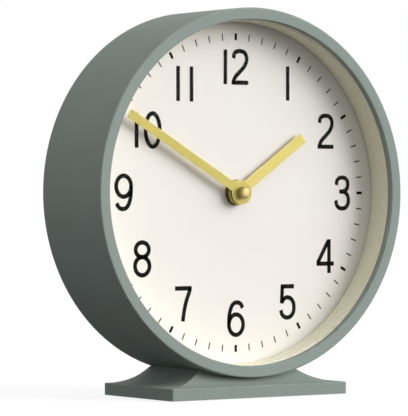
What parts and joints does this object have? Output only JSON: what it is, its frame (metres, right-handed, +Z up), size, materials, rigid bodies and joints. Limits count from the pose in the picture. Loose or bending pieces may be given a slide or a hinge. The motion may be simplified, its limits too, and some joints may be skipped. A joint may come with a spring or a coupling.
{
  "type": "mantel clock",
  "caption": "Round drum mantel clock on a coved rectangular foot, with numbered cream dial, gilt bar hands and a battery quartz movement reached through a well in the back.",
  "frame": {"origin": "middle of the face that the foot rests on", "axes": "+Z up, the dial faces -Y, +X to the right seen from the front"},
  "size_m": [0.18, 0.06, 0.1897],
  "materials": {
    "case_paint": "matt sage grey-green paint on pressed steel",
    "foot_paint": "matt sage grey-green paint on a casting",
    "lens_glass": "clear polished",
    "dial_print": "matt cream with black print",
    "rehaut_cream": "matt cream",
    "gilt": "satin gilt",
    "brass": "turned, satin",
    "cover_black": "fine moulded texture",
    "movement_black": "moulded",
    "gear_plastic": "moulded natural",
    "knob_black": "moulded, fluted",
    "screw_steel": "zinc plated",
    "soft_iron": "stamped",
    "contact_steel": "nickel plated spring strip",
    "magnet": "sintered",
    "copper": "enamelled copper wire",
    "board_green": "lacquered laminate",
    "pad_black": "foam sheet",
    "seal_grey": "thin sheet",
    "cell_sleeve": "printed sleeve, plain"
  },
  "bodies": {
    "case": {"case_drum": "case_paint", "foot": "foot_paint", "lens": "lens_glass", "dial": "dial_print", "rehaut_ring": "rehaut_cream", "threaded_bush": "brass", "fixing_washer": "brass", "fixing_nut": "brass", "back_cover": "cover_black", "spacer_ring": "cover_black", "movement_case": "movement_black", "movement_back": "movement_black", "train_bridge": "gear_plastic", "back_cover_screws": "screw_steel", "foot_screws": "screw_steel", "stator": "soft_iron", "coil_core": "soft_iron", "coil_bobbin": "gear_plastic", "coil_winding": "copper", "circuit_board": "board_green", "circuit_chip": "movement_black", "quartz_crystal": "contact_steel", "contact_negative": "contact_steel", "contact_positive": "contact_steel", "foot_pad": "pad_black", "lens_gasket": "seal_grey", "cushion_washer": "seal_grey"},
    "hour": {"hour_wheel": "gear_plastic", "hour_hand": "gilt", "hour_hand_collet": "brass"},
    "minute": {"cannon_pinion": "gear_plastic", "minute_hand": "gilt", "minute_hand_collet": "brass", "hand_nut": "brass"},
    "setting": {"minute_wheel": "gear_plastic", "setting_knob": "knob_black"},
    "centre": {"centre_wheel": "gear_plastic"},
    "third": {"third_wheel": "gear_plastic"},
    "fourth": {"fourth_wheel": "gear_plastic"},
    "fifth": {"fifth_wheel": "gear_plastic"},
    "rotor": {"rotor_pinion": "gear_plastic", "rotor_magnet": "magnet"},
    "cell": {"battery": "cell_sleeve"}
  },
  "joints": [
    {"name": "minute_hand_turn", "type": "hinge", "parent": "case", "child": "minute", "pos_m": [0, 0, 0.0997], "axis": [0, 1, 0], "continuous": true},
    {"name": "hour_hand_turn", "type": "hinge", "parent": "case", "child": "hour", "pos_m": [0, 0, 0.0997], "axis": [0, 1, 0], "continuous": true},
    {"name": "setting_turn", "type": "hinge", "parent": "case", "child": "setting", "pos_m": [0.008, 0, 0.0997], "axis": [0, 1, 0], "continuous": true},
    {"name": "fourth_wheel_turn", "type": "hinge", "parent": "case", "child": "fourth", "pos_m": [0.00024, 0, 0.11081], "axis": [0, 1, 0], "continuous": true},
    {"name": "fifth_wheel_turn", "type": "hinge", "parent": "case", "child": "fifth", "pos_m": [0.007, 0, 0.11262], "axis": [0, 1, 0], "continuous": true},
    {"name": "rotor_turn", "type": "hinge", "parent": "case", "child": "rotor", "pos_m": [0.01324, 0, 0.10902], "axis": [0, 1, 0], "continuous": true},
    {"name": "third_wheel_turn", "type": "hinge", "parent": "case", "child": "third", "pos_m": [-0.00413, 0, 0.1056], "axis": [0, 1, 0], "continuous": true},
    {"name": "centre_wheel_turn", "type": "hinge", "parent": "case", "child": "centre", "pos_m": [0, 0, 0.0997], "axis": [0, 1, 0], "continuous": true},
    {"name": "cell_out", "type": "slide", "parent": "case", "child": "cell", "axis": [0, 1, 0], "range_m": [0, 0.03]}
  ],
  "couplings": [
    {"joint": "hour_hand_turn", "follows": "minute_hand_turn", "ratio": 0.083333},
    {"joint": "setting_turn", "follows": "minute_hand_turn", "ratio": -0.33333},
    {"joint": "fifth_wheel_turn", "follows": "fourth_wheel_turn", "ratio": -6},
    {"joint": "rotor_turn", "follows": "fourth_wheel_turn", "ratio": 30},
    {"joint": "third_wheel_turn", "follows": "fourth_wheel_turn", "ratio": -0.13333},
    {"joint": "centre_wheel_turn", "follows": "fourth_wheel_turn", "ratio": 0.016667}
  ]
}
